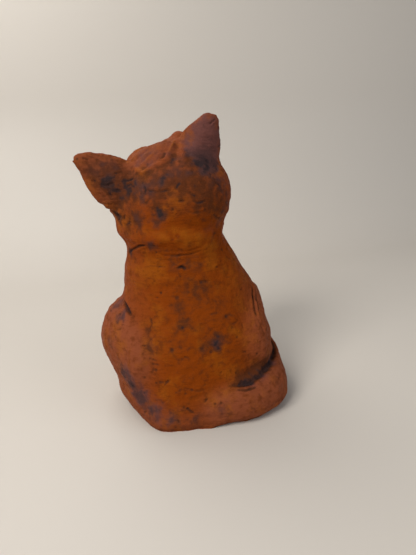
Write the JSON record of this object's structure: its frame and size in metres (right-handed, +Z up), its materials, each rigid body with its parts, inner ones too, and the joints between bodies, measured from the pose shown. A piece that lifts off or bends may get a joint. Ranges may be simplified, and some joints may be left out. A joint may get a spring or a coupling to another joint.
{
  "type": "cat sculpture",
  "caption": "Hand-modelled terracotta cat sitting upright, head tipped back and to one side, tail curled round its haunch, hollow and open underneath.",
  "frame": {"origin": "on the table under the middle of the figure's bounding box", "axes": "+Z up, the cat faces -Y, its left side is +X"},
  "size_m": [0.157, 0.1512, 0.2247],
  "materials": {
    "terracotta": "satin, burnished by hand, with darker stains"
  },
  "bodies": {
    "root": {"torso_shell": "terracotta", "neck_collar": "terracotta", "haunch_left": "terracotta", "haunch_right": "terracotta", "hind_foot_left": "terracotta", "hind_foot_right": "terracotta", "foreleg_left": "terracotta", "foreleg_right": "terracotta", "forepaw_left": "terracotta", "forepaw_right": "terracotta", "tail": "terracotta", "head_shell": "terracotta", "ear_left": "terracotta", "ear_right": "terracotta", "eye_left": "terracotta", "eye_right": "terracotta", "cheek_left": "terracotta", "cheek_right": "terracotta", "brow_left": "terracotta", "brow_right": "terracotta", "forehead_fold": "terracotta", "nose_bridge": "terracotta", "nose": "terracotta", "muzzle_left": "terracotta", "muzzle_right": "terracotta", "chin": "terracotta"}
  },
  "joints": []
}
